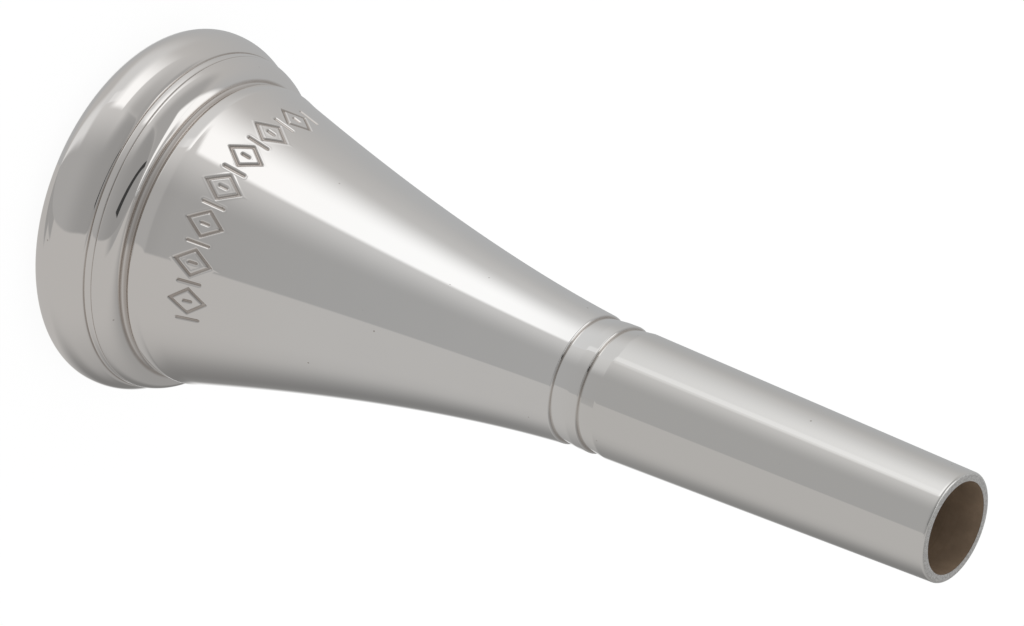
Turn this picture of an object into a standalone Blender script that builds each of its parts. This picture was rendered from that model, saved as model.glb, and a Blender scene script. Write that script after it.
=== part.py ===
"""Horn mouthpiece: a turned brass body under a skin of silver plating.

Metres, +Z up. The mouthpiece stands on its rim with the shank pointing up. The origin is the
centre of the circle on which the rim rests, and +Z is the axis of turning.
"""

import math

import bmesh
import bpy

MM = 0.001
SEGMENTS = 40
SHARP_EDGE = math.radians(25)

# Directions round a rim section, in degrees: 0 points away from the axis and 90 along it.
INWARDS, DOWN, OUTWARDS = 180, 270, 360

# Overall. Heights are measured from the rim's crown, along the axis.
LENGTH = 64.4 * MM
PLATING_THICKNESS = 0.02 * MM

# Rim: a rounded lip with its crown nearer the cup than the outside.
RIM_RADIUS = 12.25 * MM
RIM_WIDEST_HEIGHT = 2.4 * MM
RIM_CROWN_RADIUS = 9.9 * MM
RIM_BACK_END_HEIGHT = 4.54 * MM
RIM_BACK_END_RADIUS = 11.55 * MM
RIM_BACK_BULGE = 0.17 * MM
CUP_MOUTH_RADIUS = 8.75 * MM
CUP_EDGE_HEIGHT = 1.1 * MM

# Collar behind the rim: a valley, a narrow land, a fine groove and a rounded bead.
VALLEY_HEIGHT = 4.63 * MM
VALLEY_RADIUS = 11.4 * MM
LAND_START_HEIGHT = 4.7 * MM
LAND_START_RADIUS = 11.44 * MM
LAND_END_HEIGHT = 5.12 * MM
LAND_END_RADIUS = 11.41 * MM
FINE_GROOVE_HEIGHT = 5.17 * MM
FINE_GROOVE_RADIUS = 11.35 * MM
BEAD_START_HEIGHT = 5.22 * MM
BEAD_START_RADIUS = 11.4 * MM
BEAD_END_HEIGHT = 6.57 * MM
BEAD_END_RADIUS = 10.08 * MM
BEAD_BULGE = 0.24 * MM
NECK_HEIGHT = 6.9 * MM
NECK_RADIUS = 9.93 * MM
NECK_END_HEIGHT = 7.1 * MM
NECK_END_RADIUS = 10.0 * MM

# Body: a rounded shoulder, a straight cone, then a long hollow sweep into the shank.
SHOULDER_HEIGHT = 7.18 * MM
SHOULDER_RADIUS = 10.12 * MM
SHOULDER_BULGE = 0.07 * MM
CONE_START_HEIGHT = 8.2 * MM
CONE_START_RADIUS = 10.08 * MM
CONE_END_HEIGHT = 13.5 * MM
CONE_END_RADIUS = 8.63 * MM
BODY_END_HEIGHT = 36.4 * MM
BODY_END_RADIUS = 4.352 * MM
SWEEP_HOLLOW = 0.43 * MM

# Two stepped rings: a square shoulder down, then a ramp up to the next one.
RING_GROOVE_DEPTH = 0.21 * MM
RING_PITCH = 2.06 * MM
RING_STEP_WIDTH = 0.07 * MM
RING_RAMP_LENGTH = 1.25 * MM
SECOND_RING_RADIUS = 4.276 * MM

# Shank: the taper that fits the instrument's receiver.
SHANK_START_RADIUS = 4.222 * MM
SHANK_END_RADIUS = 3.65 * MM
SHANK_EDGE = 0.18 * MM

# Inside: cup, throat and backbore.
THROAT_RADIUS = 2.25 * MM
THROAT_START_HEIGHT = 27.5 * MM
THROAT_END_HEIGHT = 29.5 * MM
BACKBORE_END_RADIUS = 3.065 * MM
CUP_WALL_BULGE = 0.55 * MM


def arc(start, end, sagitta, steps):
    """Points of the circular arc from start to end, without start.

    A positive sagitta bulges to the left of the way from start to end.
    """
    chord = math.dist(start, end)
    radius = (chord * chord / 4 + sagitta * sagitta) / (2 * abs(sagitta))
    side = math.copysign(1.0, sagitta)
    along = ((end[0] - start[0]) / chord, (end[1] - start[1]) / chord)
    left = (-along[1] * side, along[0] * side)
    half_angle = math.asin(chord / 2 / radius)
    points = []
    for step in range(1, steps + 1):
        angle = half_angle * (2 * step / steps - 1)
        out = radius * math.cos(angle) - radius + abs(sagitta)
        way = chord / 2 + radius * math.sin(angle)
        points.append(
            (
                start[0] + along[0] * way + left[0] * out,
                start[1] + along[1] * way + left[1] * out,
            )
        )
    return points


def ellipse_arc(centre, radial, axial, first, last, steps):
    """Points of an ellipse between two directions in degrees, the first point included."""
    points = []
    for step in range(steps + 1):
        angle = math.radians(first + (last - first) * step / steps)
        points.append((centre[0] + radial * math.cos(angle), centre[1] + axial * math.sin(angle)))
    return points


def cup_outline():
    """From the throat down the cup wall to the edge of its mouth."""
    throat = (THROAT_RADIUS, THROAT_START_HEIGHT)
    mouth = (CUP_MOUTH_RADIUS, CUP_EDGE_HEIGHT)
    return [throat] + arc(throat, mouth, CUP_WALL_BULGE, 4)


def rim_outline():
    """From the cup's edge over the crown and round the back of the rim."""
    inner_centre = (RIM_CROWN_RADIUS, CUP_EDGE_HEIGHT)
    inner_width = RIM_CROWN_RADIUS - CUP_MOUTH_RADIUS
    inner = ellipse_arc(inner_centre, inner_width, CUP_EDGE_HEIGHT, INWARDS, DOWN, 4)
    outer_centre = (RIM_CROWN_RADIUS, RIM_WIDEST_HEIGHT)
    outer_width = RIM_RADIUS - RIM_CROWN_RADIUS
    outer = ellipse_arc(outer_centre, outer_width, RIM_WIDEST_HEIGHT, DOWN, OUTWARDS, 6)
    widest = (RIM_RADIUS, RIM_WIDEST_HEIGHT)
    back_end = (RIM_BACK_END_RADIUS, RIM_BACK_END_HEIGHT)
    return inner[1:] + outer[1:] + arc(widest, back_end, -RIM_BACK_BULGE, 4)


def collar_outline():
    """The valley, the land, the fine groove and the bead, and then the neck groove."""
    bead_start = (BEAD_START_RADIUS, BEAD_START_HEIGHT)
    bead_end = (BEAD_END_RADIUS, BEAD_END_HEIGHT)
    before = [
        (VALLEY_RADIUS, VALLEY_HEIGHT),
        (LAND_START_RADIUS, LAND_START_HEIGHT),
        (LAND_END_RADIUS, LAND_END_HEIGHT),
        (FINE_GROOVE_RADIUS, FINE_GROOVE_HEIGHT),
        bead_start,
    ]
    neck = [(NECK_RADIUS, NECK_HEIGHT), (NECK_END_RADIUS, NECK_END_HEIGHT)]
    return before + arc(bead_start, bead_end, -BEAD_BULGE, 5) + neck


def body_outline():
    """The shoulder, the cone and the hollow sweep, up to the first ring."""
    shoulder = (SHOULDER_RADIUS, SHOULDER_HEIGHT)
    cone_start = (CONE_START_RADIUS, CONE_START_HEIGHT)
    cone_end = (CONE_END_RADIUS, CONE_END_HEIGHT)
    body_end = (BODY_END_RADIUS, BODY_END_HEIGHT)
    return (
        [shoulder]
        + arc(shoulder, cone_start, -SHOULDER_BULGE, 4)
        + [cone_end]
        + arc(cone_end, body_end, SWEEP_HOLLOW, 7)
    )


def rings_outline():
    """The two stepped rings between the body and the shank."""
    points = []
    ring_tops = (BODY_END_RADIUS, SECOND_RING_RADIUS)
    next_radii = (SECOND_RING_RADIUS, SHANK_START_RADIUS)
    for index, (top, following) in enumerate(zip(ring_tops, next_radii)):
        lip_height = BODY_END_HEIGHT + index * RING_PITCH
        foot_height = lip_height + RING_STEP_WIDTH
        if index:
            points.append((top, lip_height))
        points.append((top - RING_GROOVE_DEPTH, foot_height))
        points.append((following, foot_height + RING_RAMP_LENGTH))
    return points


def shank_outline():
    """The taper's small end: a rounded edge and the flat end face as far as the bore."""
    edge_start = (SHANK_END_RADIUS, LENGTH - SHANK_EDGE)
    edge_centre = (SHANK_END_RADIUS - SHANK_EDGE, LENGTH - SHANK_EDGE)
    rounding = ellipse_arc(edge_centre, SHANK_EDGE, SHANK_EDGE, 0, 90, 2)
    return [edge_start] + rounding[1:] + [(BACKBORE_END_RADIUS, LENGTH)]


def plated_outline():
    """The whole plated surface as (radius, height), from the throat round to the shank's end."""
    return (
        cup_outline()
        + rim_outline()
        + collar_outline()
        + body_outline()
        + rings_outline()
        + shank_outline()
    )


def inset(points, depth):
    """The same open outline moved to its left by depth, with mitred corners."""
    moved = []
    for index, point in enumerate(points):
        before = points[max(index - 1, 0)]
        after = points[min(index + 1, len(points) - 1)]
        normals = []
        for start, end in ((before, point), (point, after)):
            length = math.dist(start, end)
            if length > 0:
                normals.append((-(end[1] - start[1]) / length, (end[0] - start[0]) / length))
        total = [sum(normal[axis] for normal in normals) for axis in (0, 1)]
        size = math.hypot(*total)
        cosine = size / len(normals)
        moved.append(tuple(point[axis] + total[axis] / size * depth / cosine for axis in (0, 1)))
    return moved


def turned(name, outline, material):
    """A solid of revolution about Z from a closed outline of (radius, height) points."""
    shape = bmesh.new()
    corners = [shape.verts.new((radius, 0.0, height)) for radius, height in outline]
    edges = [shape.edges.new((corners[i - 1], corners[i])) for i in range(len(corners))]
    bmesh.ops.spin(
        shape,
        geom=corners + edges,
        axis=(0.0, 0.0, 1.0),
        cent=(0.0, 0.0, 0.0),
        angle=2 * math.pi,
        steps=SEGMENTS,
        use_merge=True,
    )
    bmesh.ops.recalc_face_normals(shape, faces=shape.faces)
    mesh = bpy.data.meshes.new(name)
    shape.to_mesh(mesh)
    shape.free()
    mesh.materials.append(material)
    mesh.shade_smooth()
    mesh.set_sharp_from_angle(angle=SHARP_EDGE)
    piece = bpy.data.objects.new(name, mesh)
    bpy.context.collection.objects.link(piece)
    return piece


def metal(name, colour, roughness):
    material = bpy.data.materials.new(name)
    material.use_nodes = True
    shader = material.node_tree.nodes["Principled BSDF"]
    shader.inputs["Base Color"].default_value = (*colour, 1.0)
    shader.inputs["Metallic"].default_value = 1.0
    shader.inputs["Roughness"].default_value = roughness
    return material


def make_brass_body(core):
    """The turned piece itself, whose bore stays bare brass from the throat to the shank's end."""
    bore = [(BACKBORE_END_RADIUS, core[-1][1]), (THROAT_RADIUS, THROAT_END_HEIGHT)]
    brass = metal("brass", (0.72, 0.48, 0.22), 0.3)
    return turned("brass_body", core + bore[1:], brass)


def make_silver_plating(surface, core):
    """The silver skin over the cup, the rim, the outside and the shank's end face."""
    silver = metal("silver", (0.86, 0.85, 0.83), 0.12)
    return turned("silver_plating", surface + core[::-1], silver)


def main():
    for old in list(bpy.data.objects):
        bpy.data.objects.remove(old, do_unlink=True)
    surface = plated_outline()
    core = inset(surface, PLATING_THICKNESS)
    make_brass_body(core)
    make_silver_plating(surface, core)


main()
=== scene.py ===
"""The looks of a silver-plated horn mouthpiece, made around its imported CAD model.

The mouthpiece stands on its rim with the shank up. Outlines are (radius, height) pairs in
millimetres, with heights measured from the rim's crown along the axis of turning.
"""

import math

import bpy
import numpy as np
from mathutils import Matrix, Vector


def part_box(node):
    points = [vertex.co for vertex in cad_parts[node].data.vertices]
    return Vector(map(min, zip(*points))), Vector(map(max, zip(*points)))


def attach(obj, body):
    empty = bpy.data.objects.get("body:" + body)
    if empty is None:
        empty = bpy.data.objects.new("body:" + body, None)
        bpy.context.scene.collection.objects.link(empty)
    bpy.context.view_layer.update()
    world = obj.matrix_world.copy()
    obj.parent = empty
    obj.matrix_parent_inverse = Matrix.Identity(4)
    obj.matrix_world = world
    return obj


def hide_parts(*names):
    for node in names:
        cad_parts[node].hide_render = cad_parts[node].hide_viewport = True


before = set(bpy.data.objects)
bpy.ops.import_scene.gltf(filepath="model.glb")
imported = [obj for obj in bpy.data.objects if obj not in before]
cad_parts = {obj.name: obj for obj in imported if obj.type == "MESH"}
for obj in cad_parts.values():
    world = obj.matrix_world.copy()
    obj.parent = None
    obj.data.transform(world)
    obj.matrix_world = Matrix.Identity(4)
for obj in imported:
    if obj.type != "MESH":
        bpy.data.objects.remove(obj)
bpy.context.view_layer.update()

MM = 0.001
PLATED, CORE = "silver_plating", "brass_body"

# Driving sizes, from the CAD model.
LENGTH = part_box(PLATED)[1].z / MM
RIM_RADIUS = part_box(PLATED)[1].x / MM
PLATING_THICKNESS = 0.02

# Directions in an outline, in degrees.
OUT, UP, IN = 0, 90, 180

# A curve's handles, as shares of its chord: for most curves, and for a quarter of an ellipse.
EASY_PULLS = (0.35, 0.35)
QUARTER_PULLS = (0.39, 0.39)

# Inside: the bore, the throat and the cup, whose wall leaves and ends at these angles.
BORE_END_RADIUS = 3.065
THROAT_RADIUS = 2.25
THROAT_HEIGHTS = (27.5, 29.5)
CUP_EDGE = (8.75, 1.1)
CUP_WALL_ANGLES = (-78, -84)
CUP_WALL_PULLS = (0.3, 0.3)
CUP_LIP_PULLS = (0.38, 0.4)

# Rim. A slope is how fast the radius changes with height.
CROWN_RADIUS = 9.9
RIM_WIDEST_HEIGHT = 2.4
RIM_BACK_END = (11.64, 4.38)
RIM_BACK_END_SLOPE = -0.54
RIM_BACK_PULLS = (0.43, 0.33)
RIM_FOOT_SLOPE = -2.2
RIM_FOOT_PULLS = (0.4, 0.4)

# Collar, from the valley behind the rim to the groove before the shoulder.
VALLEY = (11.4, 4.63)
LAND = ((11.44, 4.7), (11.41, 5.12))
LAND_ANGLES = (60, 84, 98)
FINE_GROOVE = (11.35, 5.17)
BEAD_START = (11.4, 5.22)
BEAD_SLOPES = (-0.34, -3.4)
BEAD_PULLS = (0.4, 0.38)
NECK_GROOVE = ((10.08, 6.57), (9.93, 6.9), (10.0, 7.1))

# Body, from the shoulder to the first ring. The sweep's first stretch is lifted a little.
SHOULDER_START = (10.12, 7.18)
SHOULDER_START_SLOPE = 0.05
SHOULDER_PULLS = (0.75, 0.13)
SHOULDER_LIFT = 0.05
SHOULDER_LIFT_SPAN = 1.0
SWEEP_START = (10.047, 8.2)
BODY_END = (4.352, 36.4)
BODY_START_SLOPE = -0.27
BODY_END_SLOPE = -0.092
BODY_PULLS = (0.1215, 0.4247)

# Rings and shank.
RING_GROOVES = ((4.138, 36.47), (4.063, 38.53))
SECOND_RING = ((4.26, 37.72), (4.276, 38.46))
SHANK_START = (4.222, 39.78)
SHANK_END_RADIUS = 3.65
SHANK_EDGE = 0.18

# Corners that turn by more than CORNER_TURN are broken, as polishing leaves them. The curve
# takes this much of both sides, or this share of a short one.
CORNER_TURN = math.radians(16)
CORNER_REACH = 0.045
CORNER_MOST_SHARE = 0.45
CORNER_STEPS = 3

# The points that keep a straight line straight lie this far from its ends, or at this share.
GUARD_REACH = 0.1
GUARD_MOST_SHARE = 0.3

# Tarnish and painted shade darken the grooves: height of each one's middle, half its width, and
# how much.
STAINED_AND_SHADED_GROOVES = (
    (4.62, 0.07, 1.0),
    (5.17, 0.05, 1.0),
    (6.57, 0.1, 1.0),
    (6.85, 0.34, 0.7),
    (7.1, 0.07, 1.0),
    (36.47, 0.07, 1.0),
    (38.53, 0.07, 1.0),
)

# A faint tarnish on the rim end fades out between these heights.
TARNISHED_RIM = (6.0, 24.0)

# Engraved band: a plain row of lozenges and bars, in the ornament's own distances.
BAND_HEIGHTS = (9.8, 12.8)
BAND_MARGIN = 0.3
BAND_INNER_DEPTH = 0.2
ORNAMENT_FROM = math.radians(-79)
ORNAMENT_SPAN = math.radians(124)
MOTIFS = 7
LOZENGE_HALF = (0.86, 1.16)
BAR_HALF = 0.72
DASH_HALF = 0.24
STROKE_HALF_WIDTH = 0.15
STROKE_WALL = 0.1
STROKE_DEPTH = 0.1
BURR_HEIGHT = 0.014
BURR_WIDTH = 0.09
BURR_OFFSET = 0.02

# Mesh fineness: points round a ring, times how many on an engraved one, then rows along it.
SEGMENTS = 150
FINE_PER_SEGMENT = 6
CUP_WALL_STEPS, CUP_LIP_STEPS, CROWN_STEPS, RIM_BACK_STEPS = 30, 12, 28, 18
FOOT_STEPS, LAND_STEPS, BEAD_STEPS, SHOULDER_STEPS = 8, 5, 20, 16
RAMP_STEPS, TAPER_STEPS, SHANK_EDGE_STEPS, END_FACE_STEPS = 3, 14, 6, 4
BACKBORE_STEPS, THROAT_STEPS = 24, 3
SHELL_BODY_ROWS = (14, 54, 48)
CORE_BODY_ROWS = (5, 4, 20)
SWEEP_SAMPLES = 4000
CORE_DETAIL = 0.4
SHARP_EDGE = math.radians(62)

# Silver plate. Scales count the pattern's cells in a metre, and a pair runs from one end of a
# cloudy pattern to the other.
SILVER_COLOURS = ((0.93, 0.925, 0.915, 1.0), (0.965, 0.96, 0.95, 1.0))
RIM_END_COLOUR = (0.945, 0.922, 0.9, 1.0)
SHANK_COLOUR = (0.9, 0.89, 0.87, 1.0)
END_FACE_COLOURS = ((0.7, 0.69, 0.67, 1.0), (0.92, 0.91, 0.89, 1.0))
# Tarnish and painted shade in the grooves and strokes: their colour and how much of it.
STAIN_AND_SHADE_COLOUR, STAIN_AND_SHADE_SHARE = (0.33, 0.26, 0.21, 1.0), 0.62
SPECK_COLOUR, SPECK_SHARE = (0.3, 0.26, 0.22, 1.0), 0.55
SILVER_ROUGHNESS = (0.02, 0.05)
STAIN_ROUGHNESS, END_FACE_ROUGHNESS = 0.22, 0.3
SILVER_BUMP = 0.0006
TURNING_RELIEF, SPECK_RELIEF, END_FACE_RELIEF = 0.5, -2.0, 5.0
SILVER_CLOUD_SCALE, END_FACE_SCALE = 260.0, 8000.0
SPECK_SCALE, PATCH_SCALE = 700.0, 330.0
POLISHING_LINES = (60.0, 9000.0)

# Browned brass in the bore.
BRASS_COLOURS = ((0.24, 0.175, 0.12, 1.0), (0.34, 0.25, 0.175, 1.0))
REAMED_COLOUR = (0.2, 0.14, 0.09, 1.0)
BRASS_ROUGHNESS = (0.62, 0.5)
BRASS_METALLIC = 0.3
BRASS_BUMP = 0.004
BRASS_CLOUD_SCALE = 420.0
REAMING_LINES = (90.0, 5200.0)

# Camera: where the mouthpiece is seen from, and where its shank end falls in the view.
VIEW_ELEVATION = math.radians(30.23)
VIEW_ROLL = math.radians(111.89)
VIEW_DISTANCE = 0.5
SHANK_END_IN_VIEW = (0.02727, -0.01321)
LENS = 286.153
SENSOR_WIDTH = 36.0
CLIP_START = 0.01

# Set: the tent round it all, the table, and how often light may bounce between mirrors.
TENT_RADIUS = 2.0
FLOOR_SIZE = 3.6
MIRRORINGS = 10
FLOOR_GLOW = 0.93
FLOOR_COLOUR = (0.08, 0.08, 0.08, 1.0)
WHITE = (1.0, 1.0, 1.0, 1.0)
DISPLAY_GAMMA = 2.2
SILVER_REFLECTANCE = 0.94


# ---------------------------------------------------------------- outlines


def curve(start, end, start_angle, end_angle, steps, pulls=EASY_PULLS):
    """Points of a smooth curve, without its start. An angle of 0 points out from the axis
    and 90 up along it, and a pull is a handle's length as a share of the chord."""
    start, end = np.array(start, float), np.array(end, float)
    chord = np.linalg.norm(end - start)
    first, last = (
        np.array((math.cos(math.radians(a)), math.sin(math.radians(a))))
        for a in (start_angle, end_angle)
    )
    handle_a = start + first * chord * pulls[0]
    handle_b = end - last * chord * pulls[1]
    t = np.linspace(0, 1, steps + 1)[1:, None]
    points = (
        (1 - t) ** 3 * start
        + 3 * (1 - t) ** 2 * t * handle_a
        + 3 * (1 - t) * t**2 * handle_b
        + t**3 * end
    )
    return [tuple(point) for point in points]


def angle_of(slope):
    """The angle of a wall that climbs while its radius changes by slope per unit of height."""
    return UP - math.degrees(math.atan(slope))


def straight(start, end, steps=1):
    """Points of a straight line, without its start. One lies close to each end, so that
    smooth shading keeps the line straight."""
    start, end = np.array(start, float), np.array(end, float)
    guard = min(GUARD_MOST_SHARE / steps, GUARD_REACH / np.linalg.norm(end - start))
    shares = [guard] + [step / steps for step in range(1, steps)] + [1 - guard, 1]
    return [tuple(start + (end - start) * share) for share in shares]


def soften(points):
    """The same outline with its corners broken by small curves."""
    result = [points[0]]
    for before, point, after in zip(points, points[1:], points[2:]):
        a, p, b = (np.array(x, float) for x in (before, point, after))
        back, on = a - p, b - p
        turn = math.atan2(on[0] * back[1] - on[1] * back[0], -on @ back)
        if abs(turn) < CORNER_TURN:
            result.append(point)
            continue
        entry = p + back * min(CORNER_MOST_SHARE, CORNER_REACH / np.linalg.norm(back))
        leave = p + on * min(CORNER_MOST_SHARE, CORNER_REACH / np.linalg.norm(on))
        for t in np.linspace(0, 1, CORNER_STEPS + 1):
            result.append(tuple((1 - t) ** 2 * entry + 2 * t * (1 - t) * p + t**2 * leave))
    result.append(points[-1])
    return result


def cup_and_crown(detail):
    """From the throat down the cup wall, round its edge and on to the crown of the rim."""
    throat = (THROAT_RADIUS, THROAT_HEIGHTS[0])
    crown = (CROWN_RADIUS, 0.0)
    leaving, ending = CUP_WALL_ANGLES
    wall_steps, lip_steps = int(CUP_WALL_STEPS * detail), int(CUP_LIP_STEPS * detail)
    return (
        [throat]
        + curve(throat, CUP_EDGE, leaving, ending, wall_steps, CUP_WALL_PULLS)
        + curve(CUP_EDGE, crown, ending, OUT, lip_steps, CUP_LIP_PULLS)
    )


def rim_back(detail):
    """From the crown round the outside of the rim to the foot of its back."""
    crown = (CROWN_RADIUS, 0.0)
    widest = (RIM_RADIUS, RIM_WIDEST_HEIGHT)
    back_end = angle_of(RIM_BACK_END_SLOPE)
    crown_steps, back_steps = int(CROWN_STEPS * detail), int(RIM_BACK_STEPS * detail)
    return (
        curve(crown, widest, OUT, UP, crown_steps, QUARTER_PULLS)
        + curve(widest, RIM_BACK_END, UP, back_end, back_steps, RIM_BACK_PULLS)
    )


def collar():
    """The rim's foot, the valley, the land, the fine groove, the bead and the neck groove."""
    foot = (angle_of(slope) for slope in (RIM_BACK_END_SLOPE, RIM_FOOT_SLOPE))
    bead = (angle_of(slope) for slope in BEAD_SLOPES)
    return (
        curve(RIM_BACK_END, VALLEY, *foot, FOOT_STEPS, RIM_FOOT_PULLS)
        + curve(VALLEY, LAND[0], *LAND_ANGLES[:2], LAND_STEPS)
        + curve(*LAND, *LAND_ANGLES[1:], LAND_STEPS)
        + [FINE_GROOVE, BEAD_START]
        + curve(BEAD_START, NECK_GROOVE[0], *bead, BEAD_STEPS, BEAD_PULLS)
        + straight(*NECK_GROOVE[:2])
        + [NECK_GROOVE[2]]
    )


def sweep_radii(heights):
    """The radius at each height of the long hollow sweep, whose lift makes it start steeper."""
    angles = (angle_of(slope) for slope in (BODY_START_SLOPE, BODY_END_SLOPE))
    sweep = np.array(curve(SWEEP_START, BODY_END, *angles, SWEEP_SAMPLES, BODY_PULLS))
    lifted = np.clip(1 - (np.array(heights) - SWEEP_START[1]) / SHOULDER_LIFT_SPAN, 0, 1)
    return np.interp(heights, sweep[:, 1], sweep[:, 0]) + SHOULDER_LIFT * lifted**2


def body(heights):
    """The shoulder's rounding and then the sweep, with a point at each of these heights."""
    end = (SWEEP_START[0] + SHOULDER_LIFT, SWEEP_START[1])
    end_slope = BODY_START_SLOPE - 2 * SHOULDER_LIFT / SHOULDER_LIFT_SPAN
    angles = (angle_of(slope) for slope in (SHOULDER_START_SLOPE, end_slope))
    rounding = curve(SHOULDER_START, end, *angles, SHOULDER_STEPS, SHOULDER_PULLS)
    return [SHOULDER_START] + rounding + list(zip(sweep_radii(heights), heights)) + [BODY_END]


def rings_and_shank(detail):
    """The two stepped rings, the taper, its rounded edge and the end face as far as the bore."""
    first_groove, second_groove = RING_GROOVES
    taper_end = (SHANK_END_RADIUS, LENGTH - SHANK_EDGE)
    face_start = (SHANK_END_RADIUS - SHANK_EDGE, LENGTH)
    edge_steps = int(SHANK_EDGE_STEPS * detail)
    return (
        [first_groove]
        + straight(first_groove, SECOND_RING[0], RAMP_STEPS)
        + straight(*SECOND_RING)
        + [second_groove]
        + straight(second_groove, SHANK_START, RAMP_STEPS)
        + straight(SHANK_START, taper_end, int(TAPER_STEPS * detail))
        + curve(taper_end, face_start, UP, IN, edge_steps, QUARTER_PULLS)
        + straight(face_start, (BORE_END_RADIUS, LENGTH), END_FACE_STEPS)
    )


def plated_outline(detail, body_heights):
    """The whole plated surface, from the throat over the crown to the bore's edge."""
    points = (
        cup_and_crown(detail)
        + rim_back(detail)
        + collar()
        + body(body_heights)
        + rings_and_shank(detail)
    )
    return np.array(soften(points))


def tangents(points):
    """The unit direction of an open outline at each of its points."""
    steps = np.diff(points, axis=0)
    steps /= np.linalg.norm(steps, axis=1)[:, None]
    both = np.vstack([steps[:1], steps[:-1] + steps[1:], steps[-1:]])
    return both / np.linalg.norm(both, axis=1)[:, None]


def inset(points):
    """The surface under the plating, which runs deeper under the engraved band."""
    along = tangents(points)
    inward = np.column_stack([-along[:, 1], along[:, 0]])
    low, high = BAND_HEIGHTS
    height = points[:, 1]
    outside = np.arange(len(points)) > np.argmin(height)
    inside_band = np.clip(np.minimum(height - low, high - height) / BAND_MARGIN + 1, 0, 1)
    depth = PLATING_THICKNESS + (BAND_INNER_DEPTH - PLATING_THICKNESS) * inside_band * outside
    return points + inward * depth[:, None]


# ---------------------------------------------------------------- engraved ornament


BAND_MIDDLE = sum(BAND_HEIGHTS) / 2
BAND_RADIUS = sweep_radii([BAND_MIDDLE])[0]
MOTIF_PITCH = ORNAMENT_SPAN * BAND_RADIUS / (MOTIFS + 0.5)


def stroke_distance(around, along):
    """How far each point of the band is from the middle of the nearest engraved stroke."""
    place = around / MOTIF_PITCH + MOTIFS / 2
    nearest = np.clip(np.floor(place), 0, MOTIFS - 1)
    across = (place - nearest - 0.5) * MOTIF_PITCH
    width, height = LOZENGE_HALF
    lozenge = np.abs(np.abs(across) / width + np.abs(along) / height - 1)
    lozenge *= width * height / math.hypot(width, height)
    dash = np.hypot(across, np.maximum(np.abs(along) - DASH_HALF, 0))
    between = np.clip(np.round(place), 0, MOTIFS)
    bar_across = (place - between) * MOTIF_PITCH
    bar = np.hypot(bar_across, np.maximum(np.abs(along) - BAR_HALF, 0))
    return np.minimum(np.minimum(lozenge, bar), dash)


def smooth(share):
    share = np.clip(share, 0, 1)
    return share * share * (3 - 2 * share)


def engraving(angles, height):
    """(depth, tarnish and painted shade) of the engraving round one ring, both zero away from the
    strokes.
    """
    around = (angles - ORNAMENT_SPAN / 2) * BAND_RADIUS
    distance = stroke_distance(around, np.full_like(around, height - BAND_MIDDLE))
    cut = smooth((STROKE_HALF_WIDTH - distance) / STROKE_WALL)
    burr = smooth(1 - np.abs(distance - STROKE_HALF_WIDTH - BURR_OFFSET) / BURR_WIDTH)
    return STROKE_DEPTH * cut - BURR_HEIGHT * burr * (1 - cut), cut


# ---------------------------------------------------------------- turned meshes


def ring_angles(fine):
    """Angles of a ring's points from the ornament's start, closer together on a fine ring."""
    step = 2 * math.pi / SEGMENTS
    if not fine:
        return np.arange(SEGMENTS) * step
    cells = math.ceil(ORNAMENT_SPAN / step)
    crossed = np.arange(cells * FINE_PER_SEGMENT) * step / FINE_PER_SEGMENT
    return np.concatenate([crossed, np.arange(cells, SEGMENTS) * step])


def bridge(first, second):
    """Faces between two rings, each given as its first point's index and its angles."""
    (start_a, angles_a), (start_b, angles_b) = first, second
    if len(angles_a) == len(angles_b):
        count = len(angles_a)
        return [
            (start_a + i, start_a + (i + 1) % count, start_b + (i + 1) % count, start_b + i)
            for i in range(count)
        ]
    faces = []
    coarse_first = len(angles_a) < len(angles_b)
    coarse_start, fine_start = (start_a, start_b) if coarse_first else (start_b, start_a)
    fine_count = max(len(angles_a), len(angles_b))
    cells = (fine_count - SEGMENTS) // (FINE_PER_SEGMENT - 1)
    for i in range(SEGMENTS):
        corner, other = coarse_start + i, coarse_start + (i + 1) % SEGMENTS
        if i < cells:
            base = i * FINE_PER_SEGMENT
            run = [fine_start + base + j for j in range(FINE_PER_SEGMENT + 1)]
        else:
            base = i + cells * (FINE_PER_SEGMENT - 1)
            run = [fine_start + base, fine_start + (base + 1) % fine_count]
        middle = len(run) // 2
        fan = [(corner, b, a) for a, b in zip(run[:middle], run[1:])]
        fan.append((corner, other, run[middle]))
        fan += [(other, b, a) for a, b in zip(run[middle:], run[middle + 1 :])]
        faces += fan if coarse_first else [face[::-1] for face in fan]
    return faces


def ring_points(angles, radius, height, inward, depth):
    """The points of one ring, each sunk by its depth along the outline's inward normal."""
    radii = radius + inward[0] * depth
    turn = angles + ORNAMENT_FROM - math.pi / 2
    heights = height + inward[1] * depth
    return np.column_stack([radii * np.cos(turn), radii * np.sin(turn), heights])


def turned(name, outline, engraved=()):
    """A closed solid of revolution. The rings listed in engraved are fine and carry the
    ornament. Each point keeps how deep in a recess it is, for the tarnish and the painted shade
    there."""
    along = tangents(np.vstack([outline, outline[:1]]))[: len(outline)]
    normals = np.column_stack([-along[:, 1], along[:, 0]])
    points, stain_and_shade_values, rings = [], [], []
    for index, ((radius, height), inward) in enumerate(zip(outline, normals)):
        fine = index in engraved
        angles = ring_angles(fine)
        depth, stain_and_shade = engraving(angles, height) if fine else (np.zeros_like(angles),) * 2
        outside = inward[0] < 0 and radius > BORE_END_RADIUS
        if outside and engraved:
            # The grooves get tarnish and painted shade too.
            stain_and_shade = np.maximum(stain_and_shade, groove_stain_and_shade(height))
        rings.append((sum(len(ring) for ring in stain_and_shade_values), angles))
        points.append(ring_points(angles, radius, height, inward, depth))
        stain_and_shade_values.append(stain_and_shade)
    faces = []
    for first, second in zip(rings, rings[1:] + rings[:1]):
        faces += bridge(first, second)
    return solid(name, np.vstack(points) * MM, faces, np.concatenate(stain_and_shade_values))


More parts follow.
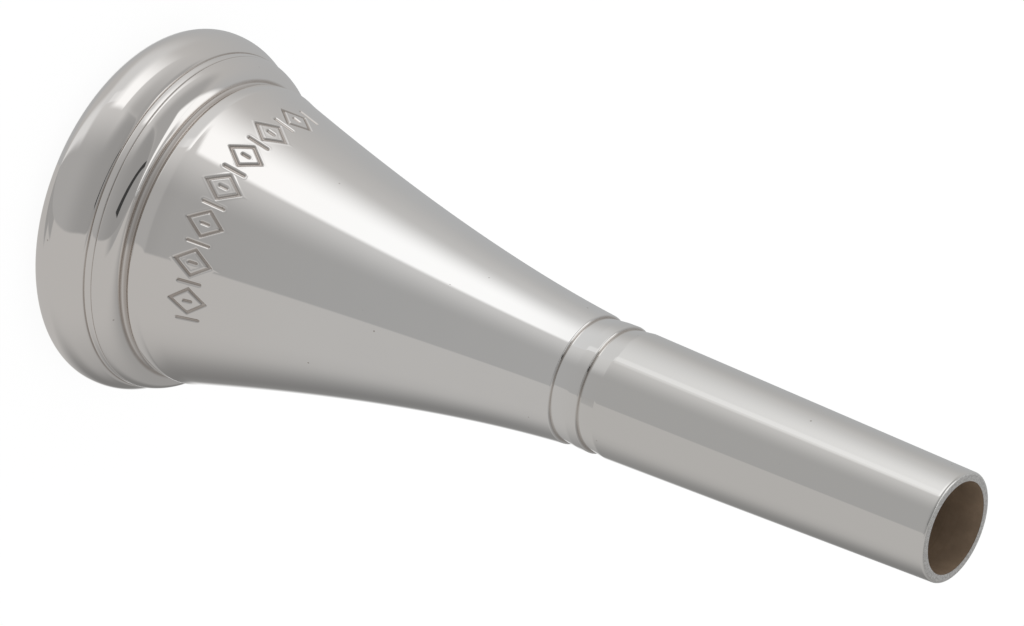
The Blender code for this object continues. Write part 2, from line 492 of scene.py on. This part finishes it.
def solid(name, points, faces, recesses):
    mesh = bpy.data.meshes.new(name)
    mesh.from_pydata(points.tolist(), [], faces)
    mesh.shade_smooth()
    mesh.set_sharp_from_angle(angle=SHARP_EDGE)
    recess = mesh.attributes.new("recess", "FLOAT", "POINT")
    recess.data.foreach_set("value", recesses.astype(np.float32))
    piece = bpy.data.objects.new(name, mesh)
    bpy.context.scene.collection.objects.link(piece)
    return piece


def groove_stain_and_shade(height):
    """From 0 to 1, how deep in a turned groove this height is, for its tarnish and painted shade.
    """
    stain_and_shade_values = [much * (1 - abs(height - mid) / half) for mid, half, much in STAINED_AND_SHADED_GROOVES]
    return max(0.0, *stain_and_shade_values)


def make_silver_shell():
    """The plating: a thin closed shell whose outer face has all the detail."""
    low, high = BAND_HEIGHTS
    rows_before, rows_across, rows_after = SHELL_BODY_ROWS
    before = np.linspace(SWEEP_START[1], low, rows_before)[1:-1]
    band = np.linspace(low, high, rows_across)
    after = np.linspace(high, BODY_END[1], rows_after)[1:-1]
    guard = [BODY_END[1] - GUARD_REACH]
    outer = plated_outline(1.0, np.concatenate([before, band, after, guard]))
    crown = np.argmin(outer[:, 1])
    engraved = {
        index
        for index, height in enumerate(outer[:, 1])
        if index > crown and low <= height <= high
    }
    return turned("silver_plate", np.vstack([outer, core_outline()[::-1]]), engraved)


def core_outline():
    """The turned brass under the plating."""
    low, high = BAND_HEIGHTS
    rows_before, rows_across, rows_after = CORE_BODY_ROWS
    before = np.linspace(SWEEP_START[1], low - BAND_MARGIN, rows_before)[1:]
    band = np.linspace(low, high, rows_across)
    after = np.linspace(high + BAND_MARGIN, BODY_END[1], rows_after)[:-1]
    return inset(plated_outline(CORE_DETAIL, np.concatenate([before, band, after])))


def make_brass_core():
    """The brass itself, bored through from the throat to the shank's end."""
    core = core_outline()
    top = (BORE_END_RADIUS, core[-1, 1])
    throat_start, throat_end = ((THROAT_RADIUS, height) for height in THROAT_HEIGHTS)
    backbore = straight(top, throat_end, BACKBORE_STEPS)
    throat = straight(throat_end, throat_start, THROAT_STEPS)[:-1]
    return turned("brass_core", np.vstack([core[:-1], [top], backbore, throat]))


# ---------------------------------------------------------------- materials


class Nodes:
    """Adds nodes to one tree. An input is a number, a colour, a vector or another's socket."""

    def __init__(self, tree):
        self.tree = tree

    def add(self, kind, inputs=None, **settings):
        node = self.tree.nodes.new(kind)
        for name, value in settings.items():
            setattr(node, name, value)
        for key, value in (inputs or {}).items():
            if isinstance(value, bpy.types.NodeSocket):
                self.tree.links.new(value, node.inputs[key])
            else:
                node.inputs[key].default_value = value
        return node

    def math(self, operation, *values):
        return self.add("ShaderNodeMath", dict(enumerate(values)), operation=operation).outputs[0]

    def span(self, value, low, high, to_low=0.0, to_high=1.0, smoothly=True):
        """value, brought from one range to another and held inside it."""
        inputs = dict(enumerate((value, low, high, to_low, to_high)))
        kind = "SMOOTHSTEP" if smoothly else "LINEAR"
        return self.add("ShaderNodeMapRange", inputs, interpolation_type=kind).outputs[0]

    def between(self, value, fade_in, fade_out):
        """1 from the end of fade_in to the start of fade_out, and 0 outside both."""
        rising = self.span(value, *fade_in)
        return self.math("MULTIPLY", rising, self.span(value, *fade_out, 1.0, 0.0))

    def mix(self, share, first, second):
        inputs = {0: share, 6: first, 7: second}
        return self.add("ShaderNodeMix", inputs, data_type="RGBA").outputs[2]

    def noise(self, vector, scale, detail=2.0, roughness=0.5):
        inputs = {"Vector": vector, "Scale": scale, "Detail": detail, "Roughness": roughness}
        return self.add("ShaderNodeTexNoise", inputs).outputs[0]


def new_material(name):
    material = bpy.data.materials.new(name)
    material.use_nodes = True
    material.node_tree.nodes.clear()
    return material, Nodes(material.node_tree)


def finish_metal(nodes, colour, roughness, normal, metallic=1.0):
    shader = nodes.add(
        "ShaderNodeBsdfPrincipled",
        {"Base Color": colour, "Metallic": metallic, "Roughness": roughness, "Normal": normal},
    )
    nodes.add("ShaderNodeOutputMaterial", {"Surface": shader.outputs[0]})


def bumped(nodes, height, distance):
    """The surface's normal, tilted by a pattern of heights in millimetres times distance."""
    inputs = {"Strength": 1.0, "Distance": distance * MM, "Height": height}
    return nodes.add("ShaderNodeBump", inputs).outputs[0]


def stretched(nodes, place, around, along):
    """Coordinates for lines that run round the axis: the pattern changes fast with height."""
    return nodes.add(
        "ShaderNodeMapping", {"Vector": place, "Scale": (around, around, along)}
    ).outputs[0]


def specks(nodes, place):
    """1 on a few small pits scattered over the plating and 0 between them."""
    nearest = nodes.add(
        "ShaderNodeTexVoronoi", {"Vector": place, "Scale": SPECK_SCALE}, feature="F1"
    ).outputs["Distance"]
    spots = nodes.span(nearest, 0.035, 0.06, 1.0, 0.0)
    patches = nodes.span(nodes.noise(place, PATCH_SCALE), 0.52, 0.6)
    return nodes.math("MULTIPLY", spots, patches)


def silver():
    """Polished silver plate: bright, faintly wiped, with tarnish and painted shade in its grooves
    and strokes.
    """
    material, nodes = new_material("polished_silver")
    place = nodes.add("ShaderNodeTexCoord").outputs["Object"]
    height = nodes.add("ShaderNodeSeparateXYZ", {0: place}).outputs["Z"]
    recess = nodes.add("ShaderNodeAttribute", attribute_name="recess").outputs["Fac"]
    end_face = nodes.span(height, (LENGTH - 0.03) * MM, (LENGTH - 0.005) * MM)
    rim_end = nodes.span(height, TARNISHED_RIM[0] * MM, TARNISHED_RIM[1] * MM, 1.0, 0.0)
    shank = nodes.span(height, BODY_END[1] * MM, SHANK_START[1] * MM)
    cloudy = nodes.noise(place, SILVER_CLOUD_SCALE, 3.0)
    fine = nodes.noise(place, END_FACE_SCALE, 2.0)
    turning = nodes.noise(stretched(nodes, place, *POLISHING_LINES), 1.0, 3.0)
    speck = specks(nodes, place)
    patchy = nodes.span(cloudy, 0.2, 0.6, 0.6, 1.0)
    # Tarnish and painted shade in the grooves and strokes, patchy.
    stain_and_shade = nodes.math("MULTIPLY", nodes.span(recess, 0.1, 0.85), patchy)

    clean = nodes.mix(cloudy, *SILVER_COLOURS)
    clean = nodes.mix(rim_end, clean, RIM_END_COLOUR)
    clean = nodes.mix(shank, clean, SHANK_COLOUR)
    faced = nodes.mix(nodes.span(fine, 0.35, 0.65), *END_FACE_COLOURS)
    colour = nodes.mix(end_face, clean, faced)
    # Darker and browner in the grooves and strokes: tarnish and painted shade.
    colour = nodes.mix(nodes.math("MULTIPLY", stain_and_shade, STAIN_AND_SHADE_SHARE), colour, STAIN_AND_SHADE_COLOUR)
    colour = nodes.mix(nodes.math("MULTIPLY", speck, SPECK_SHARE), colour, SPECK_COLOUR)

    roughness = nodes.span(cloudy, 0.35, 0.7, *SILVER_ROUGHNESS)
    for share, extra in ((stain_and_shade, STAIN_ROUGHNESS), (end_face, END_FACE_ROUGHNESS)):
        roughness = nodes.math("ADD", roughness, nodes.math("MULTIPLY", share, extra))

    relief = nodes.math("MULTIPLY", turning, TURNING_RELIEF)
    grain = nodes.math("MULTIPLY", fine, end_face)
    for pattern, much in ((speck, SPECK_RELIEF), (grain, END_FACE_RELIEF)):
        relief = nodes.math("ADD", relief, nodes.math("MULTIPLY", pattern, much))
    finish_metal(nodes, colour, roughness, bumped(nodes, relief, SILVER_BUMP))
    return material


def brass():
    """Bare brass browned by air, with the fine lines that the reamer left round the bore."""
    material, nodes = new_material("browned_brass")
    place = nodes.add("ShaderNodeTexCoord").outputs["Object"]
    cloudy = nodes.noise(place, BRASS_CLOUD_SCALE, 4.0, 0.6)
    turning = nodes.noise(stretched(nodes, place, *REAMING_LINES), 1.0, 3.0)
    colour = nodes.mix(nodes.span(cloudy, 0.3, 0.7), *BRASS_COLOURS)
    colour = nodes.mix(nodes.span(turning, 0.55, 0.8, 0.0, 0.4), colour, REAMED_COLOUR)
    roughness = nodes.span(cloudy, 0.3, 0.7, *BRASS_ROUGHNESS)
    finish_metal(nodes, colour, roughness, bumped(nodes, turning, BRASS_BUMP), BRASS_METALLIC)
    return material


# ---------------------------------------------------------------- stage, light and camera


def grey(level, warmth=0.0):
    """A light's colour whose reflection in silver comes out at this level, from 0 to 255."""
    linear = (level / 255) ** DISPLAY_GAMMA / SILVER_REFLECTANCE
    return (linear * (1 + warmth), linear, linear * (1 - warmth), 1.0)


# Parts of the tent's wall, laid over one another in this order. Angles are in degrees: 0 is
# towards the camera and 90 is towards the top of the picture. A part fades in over its first
# pair of azimuths and out over the second, and then the same with its two pairs of elevations.
FROM_ANY, TO_ANY = (-400, -300), (400, 500)
TENT_CLOTH = grey(175, 0.022)
TENT_PARTS = (
    ("far wall", (95, 150), TO_ANY, FROM_ANY, TO_ANY, grey(170, -0.008)),
    ("dim corner", FROM_ANY, (-150, -80), (-38, -28), TO_ANY, grey(148, 0.012)),
    ("dark corner", FROM_ANY, (-150, -98), (-32, -22), (-18, -4), grey(120, 0.015)),
    ("camera side", (-34, -32), (44, 46), FROM_ANY, TO_ANY, grey(160, 0.008)),
    ("camera side foot", (-50, -46), (-34, -32), FROM_ANY, (-44, -40), grey(150, 0.008)),
    ("camera side low foot", (-76, -68), (-50, -46), FROM_ANY, (-62, -58), grey(148, 0.008)),
    ("camera side head", (-48, -44), (-34, -32), (25, 50), TO_ANY, grey(150, 0.008)),
    ("camera side top", (-34, -32), (44, 46), (-30, 40), TO_ANY, grey(142, 0.008)),
    ("glow", (10, 50), (62, 115), (-58, -46), (8, 22), grey(196, 0.01)),
    ("low light", (12, 30), (46, 76), FROM_ANY, (-50, -38), grey(212)),
    ("lower glow", (47.5, 49.5), (78, 128), (-54, -42), (-28, -10), grey(202)),
    ("edge glow", (47.5, 49.5), (55, 59), (-38, -34), (-24, -20), grey(217)),
    ("above softbox", (40, 50), (95, 112), (0, 26), TO_ANY, grey(156, 0.01)),
    ("softbox", (42, 47), (61, 98), (-31, -15), (0, 3), grey(250)),
    ("top light", (74, 80), (100, 112), (42, 50), TO_ANY, grey(248)),
    ("top light, further back", (100, 108), (160, 168), (44, 50), (61, 68), grey(248)),
    ("back strip", (158, 172), TO_ANY, (-53, -46), (-42, -36), grey(235)),
    ("back strip, other side", FROM_ANY, (-168, -156), (-53, -44), (-34, -22), grey(248)),
)

# A dark bar near the camera, from one (azimuth, elevation) to another, with its half width
# at either end.
DARK_BAR = ((-17, 41), (42, 70), 5.5, 1.8)
DARK_BAR_BLUR = 1.2
DARK_BAR_TONE = grey(60)


def dark_bar(nodes, azimuth, elevation, start, end, first_half, last_half):
    """1 on the dark bar and 0 away from it."""
    rise, run = end[1] - start[1], end[0] - start[0]
    length = math.hypot(rise, run)
    shifted = nodes.math("SUBTRACT", azimuth, start[0])
    raised = nodes.math("SUBTRACT", elevation, start[1])

    def measure(by_azimuth, by_elevation):
        first = nodes.math("MULTIPLY", shifted, by_azimuth / length)
        return nodes.math("ADD", first, nodes.math("MULTIPLY", raised, by_elevation / length))

    along = measure(run, rise)
    across = nodes.math("ABSOLUTE", measure(-rise, run))
    half = nodes.span(along, 0.0, length, first_half, last_half, smoothly=False)
    beside = nodes.span(nodes.math("SUBTRACT", across, half), 0.0, DARK_BAR_BLUR, 1.0, 0.0)
    past_middle = nodes.math("ABSOLUTE", nodes.math("SUBTRACT", along, length / 2))
    inside = nodes.span(past_middle, length / 2, length / 2 + DARK_BAR_BLUR, 1.0, 0.0)
    return nodes.math("MULTIPLY", inside, beside)


def tent_material():
    """The glowing inside of the tent, told by direction from the tent's middle."""
    material, nodes = new_material("light_tent")
    place = nodes.add("ShaderNodeTexCoord").outputs["Object"]
    axes = nodes.add("ShaderNodeSeparateXYZ", {0: place}).outputs
    towards_camera = nodes.math("MULTIPLY", axes["Y"], -1.0)
    towards_top = nodes.math("MULTIPLY", axes["X"], -1.0)
    azimuth = nodes.math("DEGREES", nodes.math("ARCTAN2", towards_top, towards_camera))
    rise = nodes.math("DIVIDE", axes["Z"], TENT_RADIUS)
    elevation = nodes.math("DEGREES", nodes.math("ARCSINE", rise))
    colour = TENT_CLOTH
    for _, side_in, side_out, height_in, height_out, tone in TENT_PARTS:
        across = nodes.between(azimuth, side_in, side_out)
        up = nodes.between(elevation, height_in, height_out)
        colour = nodes.mix(nodes.math("MULTIPLY", across, up), colour, tone)
    colour = nodes.mix(dark_bar(nodes, azimuth, elevation, *DARK_BAR), colour, DARK_BAR_TONE)
    glow = nodes.add("ShaderNodeEmission", {"Color": colour})
    nodes.add("ShaderNodeOutputMaterial", {"Surface": glow.outputs[0]})
    material.cycles.emission_sampling = "NONE"
    return material


def make_tent():
    """A glowing sphere round the whole set, which shows only in what the metal mirrors."""
    bpy.ops.mesh.primitive_uv_sphere_add(segments=96, ring_count=48, radius=TENT_RADIUS)
    tent = bpy.context.object
    tent.name = "light_tent"
    tent.data.materials.append(tent_material())
    tent.visible_camera = False
    tent.visible_diffuse = False
    tent.visible_transmission = False
    tent.visible_shadow = False


def make_floor():
    """A pale table, lit from below as well, and clear when seen from underneath."""
    bpy.ops.mesh.primitive_plane_add(size=FLOOR_SIZE)
    floor = bpy.context.object
    floor.name = "table"
    material, nodes = new_material("pale_table")
    lit = nodes.add("ShaderNodeEmission", {"Color": WHITE, "Strength": FLOOR_GLOW})
    matt = nodes.add("ShaderNodeBsdfDiffuse", {"Color": FLOOR_COLOUR})
    both = nodes.add("ShaderNodeAddShader", {0: lit.outputs[0], 1: matt.outputs[0]})
    clear = nodes.add("ShaderNodeBsdfTransparent")
    underneath = nodes.add("ShaderNodeNewGeometry").outputs["Backfacing"]
    surface = nodes.add(
        "ShaderNodeMixShader", {0: underneath, 1: both.outputs[0], 2: clear.outputs[0]}
    )
    nodes.add("ShaderNodeOutputMaterial", {"Surface": surface.outputs[0]})
    floor.data.materials.append(material)
    floor.visible_glossy = False


def make_world():
    world = bpy.data.worlds.new("white_room")
    world.use_nodes = True
    backdrop = world.node_tree.nodes["Background"]
    backdrop.inputs["Color"].default_value = WHITE
    backdrop.inputs["Strength"].default_value = 1.0
    bpy.context.scene.world = world
    bpy.context.scene.view_settings.view_transform = "Standard"
    # The cup mirrors itself many times over.
    bpy.context.scene.cycles.glossy_bounces = MIRRORINGS


def make_camera():
    data = bpy.data.cameras.new("camera")
    data.lens = LENS
    data.sensor_width = SENSOR_WIDTH
    data.clip_start = CLIP_START
    camera = bpy.data.objects.new("camera", data)
    bpy.context.scene.collection.objects.link(camera)
    bpy.context.scene.camera = camera
    tilt = Matrix.Rotation(math.pi / 2 - VIEW_ELEVATION, 4, "X")
    turn = tilt @ Matrix.Rotation(VIEW_ROLL, 4, "Z")
    right, above = SHANK_END_IN_VIEW
    shank_end = Vector((0.0, 0.0, LENGTH * MM))
    place = shank_end - turn @ Vector((right, above, -VIEW_DISTANCE))
    camera.matrix_world = Matrix.Translation(place) @ turn


# ---------------------------------------------------------------- the mouthpiece


def dress(piece, material, node):
    """Gives a piece its finish, hangs it on the root body and hides the CAD node that it stands
    for.
    """
    piece.data.materials.append(material)
    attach(piece, "root")
    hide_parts(node)


make_camera()
make_world()
make_floor()
make_tent()
dress(make_silver_shell(), silver(), PLATED)
dress(make_brass_core(), brass(), CORE)

bpy.context.view_layer.update()
